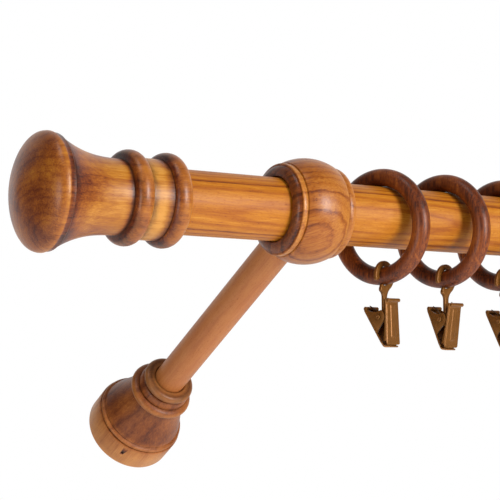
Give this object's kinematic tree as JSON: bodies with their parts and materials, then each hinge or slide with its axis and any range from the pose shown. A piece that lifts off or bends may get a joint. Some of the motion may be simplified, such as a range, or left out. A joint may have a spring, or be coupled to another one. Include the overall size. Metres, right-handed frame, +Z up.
{
  "type": "curtain rod with brackets",
  "caption": "Wooden curtain rod with turned end finials, on turned wall brackets, with sliding wooden rings that carry spring pinch clips.",
  "frame": {"origin": "centre of the left wall cup's back face, where the left bracket meets the wall", "axes": "+X along the pole from the left bracket to the right one, +Y towards the wall side, +Z up with the rings hanging straight down; the bracket arms drop 36 degrees below +Y"},
  "size_m": [1.0942, 0.1926, 0.1542],
  "materials": {
    "pole_wood": "glossy varnish, honey stain",
    "turned_wood": "glossy varnish, brown stain",
    "arm_wood": "satin varnish, tan stain",
    "ring_wood": "glossy varnish, dark red-brown stain",
    "bronze_paint": "satin bronze-brown paint",
    "steel": "zinc plated",
    "spring_steel": "dark spring steel"
  },
  "bodies": {
    "brackets": {"wall_cup_left": "steel", "rose_left": "turned_wood", "rose_lock_screw_left": "spring_steel", "dowel_screw_left": "steel", "arm_left": "arm_wood", "holder_left": "turned_wood", "pole_lock_screw_left": "steel", "wall_cup_right": "steel", "rose_right": "turned_wood", "rose_lock_screw_right": "spring_steel", "dowel_screw_right": "steel", "arm_right": "arm_wood", "holder_right": "turned_wood", "pole_lock_screw_right": "steel"},
    "pole": {"pole": "pole_wood"},
    "finial_left": {"finial_left": "turned_wood"},
    "finial_right": {"finial_right": "turned_wood"},
    "ring_1": {"ring_1": "ring_wood"},
    "hook_1": {"hook_1": "bronze_paint"},
    "clip_1": {"rear_jaw_1": "bronze_paint", "pivot_pin_1": "bronze_paint", "clip_spring_1": "spring_steel"},
    "jaw_1": {"front_jaw_1": "bronze_paint"},
    "ring_2": {"ring_2": "ring_wood"},
    "hook_2": {"hook_2": "bronze_paint"},
    "clip_2": {"rear_jaw_2": "bronze_paint", "pivot_pin_2": "bronze_paint", "clip_spring_2": "spring_steel"},
    "jaw_2": {"front_jaw_2": "bronze_paint"},
    "ring_3": {"ring_3": "ring_wood"},
    "hook_3": {"hook_3": "bronze_paint"},
    "clip_3": {"rear_jaw_3": "bronze_paint", "pivot_pin_3": "bronze_paint", "clip_spring_3": "spring_steel"},
    "jaw_3": {"front_jaw_3": "bronze_paint"},
    "ring_4": {"ring_4": "ring_wood"},
    "hook_4": {"hook_4": "bronze_paint"},
    "clip_4": {"rear_jaw_4": "bronze_paint", "pivot_pin_4": "bronze_paint", "clip_spring_4": "spring_steel"},
    "jaw_4": {"front_jaw_4": "bronze_paint"},
    "ring_5": {"ring_5": "ring_wood"},
    "hook_5": {"hook_5": "bronze_paint"},
    "clip_5": {"rear_jaw_5": "bronze_paint", "pivot_pin_5": "bronze_paint", "clip_spring_5": "spring_steel"},
    "jaw_5": {"front_jaw_5": "bronze_paint"},
    "ring_6": {"ring_6": "ring_wood"},
    "hook_6": {"hook_6": "bronze_paint"},
    "clip_6": {"rear_jaw_6": "bronze_paint", "pivot_pin_6": "bronze_paint", "clip_spring_6": "spring_steel"},
    "jaw_6": {"front_jaw_6": "bronze_paint"}
  },
  "joints": [
    {"name": "pole_turn", "type": "hinge", "parent": "brackets", "child": "pole", "pos_m": [0, -0.15371, 0.11168], "axis": [1, 0, 0], "range_deg": [-90, 90]},
    {"name": "finial_left_pull", "type": "slide", "parent": "pole", "child": "finial_left", "axis": [-1, 0, 0], "range_m": [0, 0.03]},
    {"name": "finial_right_pull", "type": "slide", "parent": "pole", "child": "finial_right", "axis": [1, 0, 0], "range_m": [0, 0.03]},
    {"name": "ring_1_slide", "type": "slide", "parent": "pole", "child": "ring_1", "axis": [1, 0, 0], "range_m": [-0.013, 0.017]},
    {"name": "clip_1_swing", "type": "hinge", "parent": "ring_1", "child": "hook_1", "pos_m": [0.04219, -0.15672, 0.0853], "axis": [-0.2813, 0.9495, -0.1392], "range_deg": [-35, 35]},
    {"name": "clip_1_tilt", "type": "hinge", "parent": "hook_1", "child": "clip_1", "pos_m": [0.04258, -0.15804, 0.06645], "axis": [-0.9588, -0.284, 0], "range_deg": [-21, 1]},
    {"name": "jaw_1_open", "type": "hinge", "parent": "clip_1", "child": "jaw_1", "pos_m": [0.04258, -0.15804, 0.06645], "axis": [-0.9588, -0.284, 0], "range_deg": [0, 16], "stiffness_Nm_per_rad": 0.02, "springref_deg": -11.46},
    {"name": "ring_2_slide", "type": "slide", "parent": "pole", "child": "ring_2", "axis": [1, 0, 0], "range_m": [-0.017, 0.017]},
    {"name": "clip_2_swing", "type": "hinge", "parent": "ring_2", "child": "hook_2", "pos_m": [0.07795, -0.15675, 0.0853], "axis": [-0.2362, 0.9617, -0.1392], "range_deg": [-35, 35]},
    {"name": "clip_2_tilt", "type": "hinge", "parent": "hook_2", "child": "clip_2", "pos_m": [0.07828, -0.1581, 0.06645], "axis": [-0.9711, -0.2385, 0], "range_deg": [-11, 11]},
    {"name": "jaw_2_open", "type": "hinge", "parent": "clip_2", "child": "jaw_2", "pos_m": [0.07828, -0.1581, 0.06645], "axis": [-0.9711, -0.2385, 0], "range_deg": [0, 16], "stiffness_Nm_per_rad": 0.02, "springref_deg": -11.46},
    {"name": "ring_3_slide", "type": "slide", "parent": "pole", "child": "ring_3", "axis": [1, 0, 0], "range_m": [-0.017, 0.566]},
    {"name": "clip_3_swing", "type": "hinge", "parent": "ring_3", "child": "hook_3", "pos_m": [0.11385, -0.15678, 0.0853], "axis": [-0.2059, 0.9686, -0.1392], "range_deg": [-35, 35]},
    {"name": "clip_3_tilt", "type": "hinge", "parent": "hook_3", "child": "clip_3", "pos_m": [0.11414, -0.15813, 0.06645], "axis": [-0.9781, -0.2079, 0], "range_deg": [-15, 7]},
    {"name": "jaw_3_open", "type": "hinge", "parent": "clip_3", "child": "jaw_3", "pos_m": [0.11414, -0.15813, 0.06645], "axis": [-0.9781, -0.2079, 0], "range_deg": [0, 16], "stiffness_Nm_per_rad": 0.02, "springref_deg": -11.46},
    {"name": "ring_4_slide", "type": "slide", "parent": "pole", "child": "ring_4", "axis": [1, 0, 0], "range_m": [-0.566, 0.017]},
    {"name": "clip_4_swing", "type": "hinge", "parent": "ring_4", "child": "hook_4", "pos_m": [0.69975, -0.15678, 0.0853], "axis": [0.2059, 0.9686, -0.1392], "range_deg": [-35, 35]},
    {"name": "clip_4_tilt", "type": "hinge", "parent": "hook_4", "child": "clip_4", "pos_m": [0.69946, -0.15813, 0.06645], "axis": [-0.9781, 0.2079, 0], "range_deg": [-15, 7]},
    {"name": "jaw_4_open", "type": "hinge", "parent": "clip_4", "child": "jaw_4", "pos_m": [0.69946, -0.15813, 0.06645], "axis": [-0.9781, 0.2079, 0], "range_deg": [0, 16], "stiffness_Nm_per_rad": 0.02, "springref_deg": -11.46},
    {"name": "ring_5_slide", "type": "slide", "parent": "pole", "child": "ring_5", "axis": [1, 0, 0], "range_m": [-0.017, 0.017]},
    {"name": "clip_5_swing", "type": "hinge", "parent": "ring_5", "child": "hook_5", "pos_m": [0.73565, -0.15675, 0.0853], "axis": [0.2362, 0.9617, -0.1392], "range_deg": [-35, 35]},
    {"name": "clip_5_tilt", "type": "hinge", "parent": "hook_5", "child": "clip_5", "pos_m": [0.73532, -0.1581, 0.06645], "axis": [-0.9711, 0.2385, 0], "range_deg": [-11, 11]},
    {"name": "jaw_5_open", "type": "hinge", "parent": "clip_5", "child": "jaw_5", "pos_m": [0.73532, -0.1581, 0.06645], "axis": [-0.9711, 0.2385, 0], "range_deg": [0, 16], "stiffness_Nm_per_rad": 0.02, "springref_deg": -11.46},
    {"name": "ring_6_slide", "type": "slide", "parent": "pole", "child": "ring_6", "axis": [1, 0, 0], "range_m": [-0.017, 0.013]},
    {"name": "clip_6_swing", "type": "hinge", "parent": "ring_6", "child": "hook_6", "pos_m": [0.77141, -0.15672, 0.0853], "axis": [0.2813, 0.9495, -0.1392], "range_deg": [-35, 35]},
    {"name": "clip_6_tilt", "type": "hinge", "parent": "hook_6", "child": "clip_6", "pos_m": [0.77102, -0.15804, 0.06645], "axis": [-0.9588, 0.284, 0], "range_deg": [-21, 1]},
    {"name": "jaw_6_open", "type": "hinge", "parent": "clip_6", "child": "jaw_6", "pos_m": [0.77102, -0.15804, 0.06645], "axis": [-0.9588, 0.284, 0], "range_deg": [0, 16], "stiffness_Nm_per_rad": 0.02, "springref_deg": -11.46}
  ]
}
